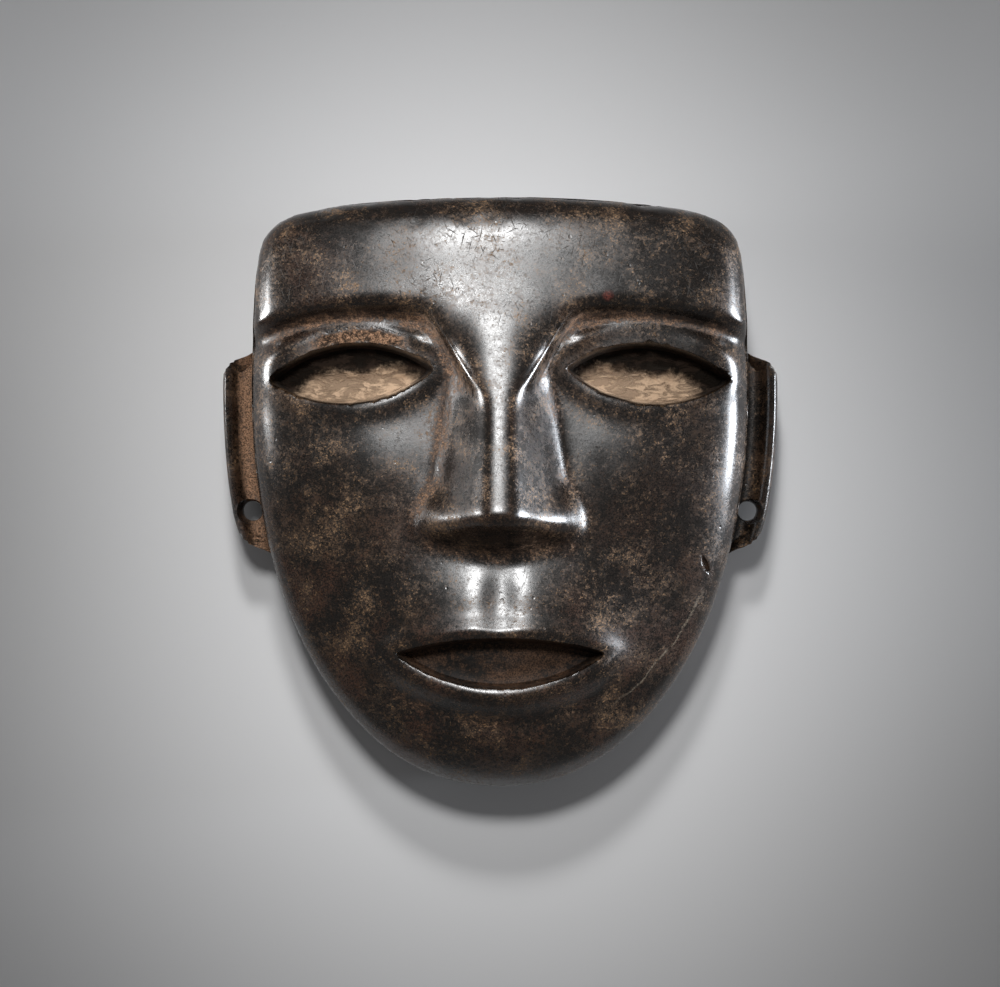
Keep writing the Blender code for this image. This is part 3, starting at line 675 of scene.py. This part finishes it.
def read_grid(grid, x, y, low_x, low_y):
    """Values of an even grid at these places, blended between its points."""
    at_x = np.clip((x - low_x) / HEIGHT_GRID, 0, grid.shape[1] - 1.001)
    at_y = np.clip((y - low_y) / HEIGHT_GRID, 0, grid.shape[0] - 1.001)
    i, j = at_x.astype(int), at_y.astype(int)
    u, v = at_x - i, at_y - j
    lower = grid[j, i] * (1 - u) + grid[j, i + 1] * u
    upper = grid[j + 1, i] * (1 - u) + grid[j + 1, i + 1] * u
    return lower * (1 - v) + upper * v


def hollows_of_face(x, y):
    """How far the face lies below its own blur at these places, over the near and the wide reach."""
    low_x, low_y = -0.105, -0.120
    grid_x, grid_y = np.meshgrid(
        np.arange(low_x, -low_x, HEIGHT_GRID), np.arange(low_y, -low_y, HEIGHT_GRID))
    height = face(grid_x, grid_y)
    outside = np.maximum(np.abs(grid_x) - np.maximum(half_width_at(grid_y), 0.020), 0)
    outside = np.maximum(outside, np.abs(grid_y) - TOP_Y)
    height = height - 1.5 * np.maximum(outside, 0)
    near = blurred(height, NEAR_BLUR) - height
    wide = blurred(height, WIDE_BLUR) - height
    return read_grid(near, x, y, low_x, low_y), read_grid(wide, x, y, low_x, low_y)


def zones_of(points):
    """Shares from 0 to 1 that say where on the mask each point lies."""
    x, y, z = points.T
    eye_d, eye_upper = eye(x, y)
    mouth_d, _ = mouth(x, y)
    in_front = ramp(z, SIDE_Z, SIDE_Z + 0.003)
    depth = face(x, y) - z
    near, wide = hollows_of_face(x, y)
    uneven = 0.0009 * rough_noise(points, 0.0030, 61)
    band = ramp(eye_d + uneven, 0.0002, 0.0012) * ramp(eye_d + uneven, 0.0054, 0.0038)
    span = ramp(x, -0.067, -0.058) * ramp(x, -0.029, -0.036)
    beside = np.abs(x) - half_width_at(y)
    channel = ramp(beside, -0.0022, -0.0002) * ramp(beside, 0.0082, 0.0052)
    bowl_x, bowl_y = np.abs(x) / HOLLOW_X, np.abs(y - HOLLOW_MIDDLE_Y) / HOLLOW_Y
    in_bowl = bowl_x ** HOLLOW_POWER + bowl_y ** HOLLOW_POWER < 1.05
    bowl = in_bowl * ramp(z, HOLLOW_DEPTH + 0.002, HOLLOW_DEPTH + 0.001)
    floor_z = EAR_FRONT - EAR_CHANNEL
    level = ramp(z, floor_z - 0.0050, floor_z - 0.0020) * ramp(z, floor_z + 0.0115, floor_z + 0.0055)
    level = level * ramp(y, EAR_BOTTOM, EAR_BOTTOM + 0.005)
    return {
        "hollow": np.clip(near / 0.00055, 0, 1) * in_front,
        "ridge": np.clip(-near / 0.00055, 0, 1) * in_front,
        "dell": np.clip(wide / 0.0030, 0, 1) * in_front,
        "eye_floor": ramp(eye_d, 0.0006, -0.0004) * ramp(depth, 0.0012, 0.0030) * in_front,
        "mouth_floor": ramp(mouth_d, 0.0006, -0.0004) * ramp(depth, 0.0010, 0.0024) * in_front,
        # where the eyes' floors stay pale, in their lower middle; their upper parts and ends get painted
        # shade
        "eye_unshaded": ramp(y - EYE_Y + EYE_DROOP * (np.abs(x) - EYE_X), 0.0060, -0.0035)
        * ramp(np.abs(np.abs(x) - EYE_X + 0.003), 0.026, 0.012),
        "spall": band * span * eye_upper * in_front,
        "channel": channel * level * ramp(y, EAR_TOP + 0.002, EAR_TOP - 0.003),
        "back": np.maximum(ramp(z, 0.004, 0.0015), bowl),
    }


def worn(points, normals, zones):
    """The points moved along their normals by the waviness of hand grinding, chips and the flaked band.

    They also move up or down by a share of the face's distance from its own blur, which rounds its
    sharp edges.
    """
    x, y, z = points.T
    wave = HAND_WAVE * value_noise(points, 0.026, 11) + 0.35 * HAND_WAVE * value_noise(points, 0.009, 12)
    chips = np.maximum(rough_noise(points, 0.0060, 21) - 0.15, 0)
    edge = ramp(y, 0.088, 0.096) * ramp(z, SIDE_Z, SIDE_Z + 0.010)
    flake = zones["spall"] * (SPALL_DEPTH + 0.00028 * rough_noise(points, 0.0024, 31))
    grind = 0.00035 * rough_noise(points, 0.011, 41) * zones["back"]
    move = wave - EDGE_CHIP * chips * edge - flake + grind
    in_hollow = np.maximum(zones["eye_floor"], zones["mouth_floor"])
    move = move * (1 - in_hollow) * ramp(z, 0.0005, 0.0060)
    on_face = ramp(z, SIDE_Z + 0.001, SIDE_Z + 0.005) * ramp(face(x, y) - z, 0.0020, 0.0005)
    crease = np.clip(hollows_of_face(x, y)[0], -MOST_ROUNDED, MOST_ROUNDED)
    softer = EDGE_ROUNDING * crease * on_face
    moved = points + normals * move[:, None]
    return moved + softer[:, None] * np.array([0, 0, 1])


def mesh_array(mesh, part, field, width):
    """One field of all of a mesh's parts, as rows."""
    values = np.empty(len(part) * width, np.float32)
    part.foreach_get(field, values)
    return values.reshape(-1, width).astype(float)


def make_mask():
    """The whole mask: its skin, its hollows, its wear, and the zones that its stone is coloured by."""
    ox, oy = spaced_outline(COLUMNS)
    bands = [front_rows(ox, oy), side_rows(ox, oy), back_rows(ox, oy)]
    rings = np.stack([np.concatenate([band[k] for band in bands]) for k in range(3)], -1)
    middle_z = float(face(np.float64(0), np.float64(TEMPLE_Y)))
    mask = new_object("mask_stone", skin(
        "mask_stone", rings, (0, TEMPLE_Y, middle_z), (0, HOLLOW_MIDDLE_Y, HOLLOW_DEPTH)))
    eye_size = EYE_HALF, EYE_UP, EYE_DOWN
    eye_wear = SOCKET_DEPTH, RIM_CHIP, EYE_ROUGH
    mouth_size = MOUTH_HALF, MOUTH_UP, MOUTH_DOWN
    mouth_wear = MOUTH_DEPTH, LIP_CHIP, MOUTH_ROUGH
    cut(mask, [
        hollow_cutter("eye_right", (EYE_X, EYE_Y), eye_size, EYE_DROOP, *eye_wear, 71),
        hollow_cutter("eye_left", (-EYE_X, EYE_Y), eye_size, -EYE_DROOP, *eye_wear, 83),
        hollow_cutter("mouth", (0, MOUTH_Y), mouth_size, 0, *mouth_wear, 97),
        nick_cutter(),
        *(drill_cutter(f"drill_{side}_{end}", side, end) for side in (1, -1) for end in (1, -1)),
    ])
    mesh = mask.data
    points = mesh_array(mesh, mesh.vertices, "co", 3)
    normals = mesh_array(mesh, mesh.vertices, "normal", 3)
    zones = zones_of(points)
    x, y, z = bent(*worn(points, normals, zones).T)
    mesh.vertices.foreach_set("co", np.stack([x, y, np.maximum(z, 0)], -1).astype(np.float32).ravel())
    for name, share in zones.items():
        mesh.attributes.new(name, "FLOAT", "POINT").data.foreach_set("value", share.astype(np.float32))
    mesh.update()
    mesh.shade_smooth()
    mesh.set_sharp_from_angle(angle=np.radians(SHARP_ANGLE))
    return mask


class Shade:
    """Short words for laying out the nodes of one tree."""

    def __init__(self, tree):
        self.tree = tree
        tree.nodes.clear()

    def add(self, kind, inputs=None, **settings):
        """A node. Each input is a number, a colour or another node's output, by its name or its place."""
        node = self.tree.nodes.new(kind)
        for name, value in settings.items():
            setattr(node, name, value)
        for socket, value in (inputs or {}).items():
            if isinstance(value, bpy.types.NodeSocket):
                self.tree.links.new(value, node.inputs[socket])
            else:
                node.inputs[socket].default_value = value
        return node

    def noise(self, place, size, detail=4.0, roughness=0.55, distortion=0.0):
        """Cloudy noise around 0.5 whose lumps are about this size, in metres."""
        return self.add("ShaderNodeTexNoise", {
            "Vector": place, "Scale": 1 / size, "Detail": detail, "Roughness": roughness,
            "Distortion": distortion}).outputs["Fac"]

    def ramp(self, value, start, end, low=0.0, high=1.0):
        """An S-curve from low to high as the value goes from start to end."""
        return self.add("ShaderNodeMapRange", {
            "Value": value, "From Min": start, "From Max": end, "To Min": low, "To Max": high},
            interpolation_type="SMOOTHSTEP").outputs["Result"]

    def math(self, operation, a, b=0.0, clamp=False):
        """A sum, product or the like of two values."""
        return self.add("ShaderNodeMath", {0: a, 1: b}, operation=operation, use_clamp=clamp).outputs[0]

    def times(self, *values):
        """The product of several values."""
        total = values[0]
        for value in values[1:]:
            total = self.math("MULTIPLY", total, value)
        return total

    def plus(self, *values):
        """The sum of several values."""
        total = values[0]
        for value in values[1:]:
            total = self.math("ADD", total, value)
        return total

    def mix(self, share, a, b):
        """A colour between two."""
        return self.add("ShaderNodeMix", {0: share, 6: a, 7: b}, data_type="RGBA").outputs[2]

    def blend(self, share, a, b):
        """A number between two."""
        return self.add("ShaderNodeMix", {0: share, 2: a, 3: b}, data_type="FLOAT").outputs[0]

    def zone(self, name):
        """One of the shares laid on the mesh's points."""
        return self.add("ShaderNodeAttribute", attribute_name=name).outputs["Fac"]

    def moved(self, place, *offset):
        """The same place, moved, so that one noise doesn't follow another."""
        return self.add("ShaderNodeVectorMath", {0: place, 1: offset}, operation="ADD").outputs[0]

    def scratches(self, place, angle, length, gap, width):
        """Short straight lines at an angle: cells stretched along it, with a thin spot in each."""
        bend = self.add("ShaderNodeTexNoise", {"Vector": place, "Scale": 1 / 0.009, "Detail": 1.0})
        sway = self.add("ShaderNodeVectorMath", {0: bend.outputs["Color"], "Scale": 0.0016},
                        operation="SCALE").outputs[0]
        bowed = self.add("ShaderNodeVectorMath", {0: place, 1: sway}, operation="ADD").outputs[0]
        flat = self.add("ShaderNodeMapping", {
            "Vector": bowed, "Rotation": (0, 0, -np.radians(angle)), "Scale": (1, 1, 0)}).outputs[0]
        cell = self.add("ShaderNodeVectorMath", {0: flat, 1: (1 / length, 1 / gap, 0)},
                        operation="MULTIPLY").outputs[0]
        spot = self.add("ShaderNodeTexVoronoi", {"Vector": cell, "Scale": 1.0},
                        voronoi_dimensions="2D", feature="F1").outputs["Distance"]
        return self.ramp(spot, width / gap, 0.3 * width / gap)


def stone():
    """Dark polished stone: black, umber and red-brown clouds, and clusters of tan specks.

    Earth lies in the hollows, heavier on the left side; in the ears' channels it is partly earth and
    partly painted light, and under the brows partly a painted highlight. The eyes have pale rough floors
    with painted shade over their upper parts and ends, the forehead has hairline scratches, and the
    polish is dull wherever the earth and its painted light lie.
    """
    material = bpy.data.materials.new("polished_dark_stone")
    material.use_nodes = True
    s = Shade(material.node_tree)
    place = s.add("ShaderNodeTexCoord").outputs["Object"]
    axes = s.add("ShaderNodeSeparateXYZ", {0: place}).outputs
    across, up = axes["X"], axes["Y"]

    cloud = s.noise(place, 0.040, 4, 0.55)
    blotch = s.noise(place, 0.012, 6, 0.65, 0.3)
    grit = s.noise(place, 0.0022, 5, 0.78)
    speck = s.noise(s.moved(place, 0.3, 0.1, 0.2), 0.0008, 3, 0.8)
    grain = s.noise(s.moved(place, 0.6, 0.3, 0.8), 0.00055, 2, 0.7)
    warmth = s.noise(s.moved(place, 0.7, 0.2, 0.5), 0.020, 5, 0.6)
    cluster = s.noise(s.moved(place, 0.1, 0.8, 0.4), 0.013, 4, 0.6)

    # Clouds of black, umber, grey and red-brown
    tone = s.plus(s.times(cloud, 0.34), s.times(blotch, 0.36), s.times(grit, 0.46))
    colour = s.mix(s.ramp(tone, 0.545, 0.690), BLACK, UMBER)
    jaw = s.ramp(up, 0.020, -0.070, 0.10, 0.70)
    left = s.ramp(across, 0.030, -0.070, 0.0, 0.25)
    red = s.times(s.ramp(s.plus(warmth, s.times(grit, 0.55)), 0.72, 0.92), s.plus(jaw, left),
                  s.ramp(grain, 0.36, 0.60, 0.35, 1.0))
    colour = s.mix(red, colour, RED_BROWN)
    colour = s.mix(s.times(s.ramp(s.plus(cluster, s.times(grit, 0.5)), 0.76, 0.92), 0.35), colour, GREY)

    # Brown flecks and fine tan specks, both in clusters
    patchy = s.math("SUBTRACT", blotch, 0.5)
    crowd = s.plus(s.times(s.math("SUBTRACT", cluster, 0.5), 0.42), s.times(patchy, 0.30))
    fleck = s.noise(s.moved(place, 0.5, 0.5, 0.9), 0.0015, 4, 0.85, 0.3)
    flecks = s.ramp(s.plus(fleck, crowd), 0.530, 0.600)
    colour = s.mix(s.times(flecks, 0.80), colour, FLECK)
    specks = s.ramp(s.plus(s.times(speck, 0.65), s.times(fleck, 0.35), crowd), 0.580, 0.640)
    colour = s.mix(s.times(specks, 0.85), colour, TAN)

    # Earth in the hollows, beside the nose and in the ears' channels, heavier on the left side than on the
    # right. In the channels it is partly earth and partly painted light: paler where little light reaches,
    # and the left channel much paler than the right.
    leftward = s.ramp(across, 0.06, -0.06, 0.3, 1.1)
    # painted light laid with the earth in the ears' channels: the left channel much paler than the right
    channel_earth_and_light = s.times(s.zone("channel"), s.ramp(across, 0.05, -0.05, 0.2, 1.0))
    # under the brows the tan is partly earth and partly a painted highlight along the brow's lower edge
    brow_earth_and_highlight = s.ramp(up, 0.044, 0.054)
    crease = s.times(s.plus(s.times(s.zone("hollow"), 0.50), s.times(s.zone("dell"), 0.30)),
                     s.math("MAXIMUM", leftward, brow_earth_and_highlight))
    settled_and_painted_light = s.plus(crease, channel_earth_and_light)
    broken = s.plus(settled_and_painted_light, s.times(patchy, 1.1), s.times(s.math("SUBTRACT", fleck, 0.5), 1.6))
    earth_and_painted_light = s.ramp(broken, 0.30, 1.15)
    # the channels' share makes the soil paler there, as painted light where little light reaches
    soil_and_painted_light = s.plus(s.times(fleck, 0.30), s.times(grit, 0.45), s.times(blotch, 0.25),
                  s.times(s.zone("channel"), 0.22))
    soil_and_painted_light = s.mix(s.ramp(soil_and_painted_light, 0.42, 0.58), SOIL, EARTH)
    colour = s.mix(s.times(earth_and_painted_light, 0.9), colour, soil_and_painted_light)

    # The flaked band, the mouth's floor and the eyes' floors
    flake = s.zone("spall")
    crumbs = s.ramp(s.plus(s.times(grit, 0.5), s.times(fleck, 0.5)), 0.44, 0.56)
    colour = s.mix(flake, colour, s.mix(crumbs, UMBER, EARTH))
    in_mouth = s.zone("mouth_floor")
    rusty = s.ramp(s.plus(tone, s.times(fleck, 0.3)), 0.66, 0.80)
    colour = s.mix(in_mouth, colour, s.mix(rusty, BLACK, RUST))
    in_eye = s.zone("eye_floor")
    # the eyes' floors: cream with dark mottles, and painted shade darkening their upper parts and ends
    paleness = s.plus(s.times(blotch, 0.65), s.times(grit, 0.35), s.times(s.zone("eye_unshaded"), 0.40))
    pale = s.mix(s.ramp(paleness, 0.58, 0.84), SHADE, CREAM)
    squeezed = s.add("ShaderNodeMapping", {"Vector": place, "Scale": (1, 2.4, 1)}).outputs[0]
    streak = s.ramp(s.noise(squeezed, 0.0075, 6, 0.72, 0.5), 0.56, 0.42)
    pale = s.mix(s.times(streak, 0.50), pale, SOIL)
    colour = s.mix(in_eye, colour, pale)

    # A small red inclusion over one brow, scratches, and the pale hairline down the jaw
    spot = s.add("ShaderNodeVectorMath", {0: place, 1: RED_SPOT}, operation="DISTANCE").outputs["Value"]
    colour = s.mix(s.times(s.ramp(s.plus(spot, s.times(grit, 0.002)), 0.0034, 0.0018), 0.7), colour, RED)
    lines = None
    for angle, length, gap, width in SCRATCHES:
        layer = s.scratches(s.moved(place, 0.01 * angle, 0, 0), angle, length, gap, width)
        lines = layer if lines is None else s.math("MAXIMUM", lines, layer)
    handled = s.ramp(s.noise(s.moved(place, 0.4, 0.6, 0.1), 0.022, 2, 0.5), 0.44, 0.56)
    brow = s.ramp(up, 0.050, 0.068, 0.25, 1.0)
    lines = s.times(lines, handled, brow, s.math("SUBTRACT", 1.0, in_eye, True))
    colour = s.mix(s.times(lines, 0.22), colour, SCRATCH_GREY)
    centre = s.add("ShaderNodeVectorMath", {0: place, 1: (1, 1, 0)}, operation="MULTIPLY").outputs[0]
    apart = s.add("ShaderNodeVectorMath", {0: centre, 1: VEIN_CENTRE}, operation="DISTANCE")
    off = s.math("ABSOLUTE", s.plus(apart.outputs["Value"], s.times(patchy, 0.004), -VEIN_RADIUS))
    vein = s.times(s.ramp(off, 0.00045, 0.00010), s.ramp(across, 0.034, 0.050), s.ramp(up, -0.030, -0.040),
                   s.ramp(axes["Z"], 0.030, 0.034), s.ramp(grit, 0.36, 0.50))
    colour = s.mix(s.times(vein, 0.75), colour, VEIN_GREY)

    # Fine grain, but for the eyes' floors
    grains = s.blend(in_eye, s.ramp(grain, 0.34, 0.66, 0.30, 1.60), 1.0)
    colour = s.add("ShaderNodeVectorMath", {0: colour, "Scale": grains}, operation="SCALE").outputs[0]

    # Polish
    polish = s.plus(s.times(blotch, 0.20), s.times(grit, 0.22), s.times(grain, 0.14),
                    s.times(s.zone("ridge"), -0.04))
    polish = s.plus(polish, s.times(flecks, 0.10), s.times(specks, 0.16), s.times(red, 0.10),
                    s.times(lines, 0.30))
    dull = s.math("MAXIMUM", s.math("MAXIMUM", earth_and_painted_light, flake), s.math("MAXIMUM", in_eye, s.zone("back")))
    roughness = s.blend(dull, polish, EARTH_ROUGHNESS)
    roughness = s.blend(in_mouth, roughness, MOUTH_ROUGHNESS)

    # Relief too fine for the mesh: grain, pits and scratches, in millimetres
    pit_place = s.moved(place, 0.2, 0.9, 0.3)
    pits = s.add("ShaderNodeTexVoronoi", {"Vector": pit_place, "Scale": 1 / 0.0042, "Randomness": 1.0},
                 feature="F1").outputs["Distance"]
    pit = s.times(s.ramp(pits, 0.16, 0.05), s.ramp(cluster, 0.46, 0.56))
    polished = s.plus(s.times(grit, 0.018), s.times(speck, 0.010), s.times(grain, 0.004),
                      s.times(pit, -0.05), s.times(lines, -0.012))
    rough = s.plus(s.times(grit, 0.50), s.times(speck, 0.08), s.times(blotch, 0.7),
                   s.times(in_eye, streak, -0.35))
    coarse = s.math("MAXIMUM", s.math("MAXIMUM", flake, in_eye), s.times(earth_and_painted_light, 0.12))
    height = s.blend(coarse, polished, rough)
    fine = s.add("ShaderNodeBump", {"Strength": 1.0, "Distance": 0.001, "Height": height}).outputs[0]

    # Less shine where the stone is scratched or dented, and where it is dull
    dents = s.ramp(s.plus(s.times(speck, 0.6), s.times(grit, 0.4)), 0.52, 0.60)
    scuffed = s.math("MAXIMUM", s.times(lines, 0.85), s.times(dents, 0.75))
    shine = s.blend(s.math("MAXIMUM", s.math("MAXIMUM", dull, in_mouth), scuffed), 0.5, 0.12)
    shader = s.add("ShaderNodeBsdfPrincipled", {
        "Base Color": colour, "Roughness": roughness, "Normal": fine, "IOR": STONE_IOR,
        "Specular IOR Level": shine})
    s.add("ShaderNodeOutputMaterial", {"Surface": shader.outputs[0]})
    return material


def make_floor():
    """A plain pale floor, a hair under the mask's rim."""
    mesh = bpy.data.meshes.new("floor")
    signs = (-1, -1), (1, -1), (1, 1), (-1, 1)
    corners = [(x * FLOOR_HALF, y * FLOOR_HALF, -FLOOR_DROP) for x, y in signs]
    mesh.from_pydata(corners, [], [(0, 1, 2, 3)])
    material = bpy.data.materials.new("pale_floor")
    material.use_nodes = True
    shader = material.node_tree.nodes["Principled BSDF"]
    shader.inputs["Base Color"].default_value = FLOOR_GREY
    shader.inputs["Roughness"].default_value = 0.9
    shader.inputs["Specular IOR Level"].default_value = 0.1
    mesh.materials.append(material)
    return new_object("floor", mesh)


def aim(thing, place, target):
    """Puts a light at a place and turns it to a target."""
    thing.location = place
    thing.rotation_euler = (Vector(target) - Vector(place)).to_track_quat("-Z", "Y").to_euler()
    bpy.context.scene.collection.objects.link(thing)


def add_panel(name, place, target, size, watts, colour):
    """A rectangular soft light with a narrow beam."""
    light = bpy.data.lights.new(name, "AREA")
    light.shape = "RECTANGLE"
    light.size, light.size_y = size
    light.energy = watts
    light.color = colour
    light.spread = np.radians(PANEL_SPREAD)
    aim(bpy.data.objects.new(name, light), place, target)


def add_pool(name, place, target, cone, soft, watts):
    """A soft-edged spot that leaves a pool of light on the floor."""
    light = bpy.data.lights.new(name, "SPOT")
    light.spot_size = np.radians(cone)
    light.spot_blend = 1.0
    light.shadow_soft_size = soft
    light.energy = watts
    aim(bpy.data.objects.new(name, light), place, target)


def light_studio():
    """Soft spots from over the brow, one of them wide, a low panel at each side and a dim even room."""
    add_pool("pool", (-0.07, 0.43, 1.10), (-0.008, -0.035, 0), 17, 0.11, 37)
    add_pool("pool_over_brow", (-0.05, 0.70, 0.80), (-0.008, 0.035, 0.02), 19, 0.09, 19)
    add_pool("wash", (-0.05, 0.70, 0.80), (0, 0, 0), 70, 0.09, 6)
    add_panel("panel_left", (-0.50, 0.12, 0.12), (0, 0.12, 0.12), (0.16, 0.24), 0.26, (1, 1, 1))
    add_panel("panel_right", (0.50, 0.05, 0.12), (0, 0.05, 0.12), (0.24, 0.24), 0.38, (0.88, 0.93, 1.0))
    world = bpy.data.worlds.new("studio")
    world.use_nodes = True
    room = world.node_tree.nodes["Background"].inputs
    room["Color"].default_value = (0.83, 0.83, 0.84, 1)
    room["Strength"].default_value = 0.14
    bpy.context.scene.world = world


def add_camera():
    """Straight over the mask, with the brow towards the top of the picture."""
    camera = bpy.data.cameras.new("camera")
    camera.lens = LENS
    camera.sensor_width = SENSOR
    thing = bpy.data.objects.new("camera", camera)
    thing.location = (0, 0, CAMERA_HEIGHT)
    bpy.context.scene.collection.objects.link(thing)
    bpy.context.scene.camera = thing


mask_stone = make_mask()
mask_stone.data.materials.append(stone())
floor = make_floor()
add_camera()
light_studio()
bpy.context.scene.view_settings.view_transform = "Standard"

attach(mask_stone, "root")
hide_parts("mask")
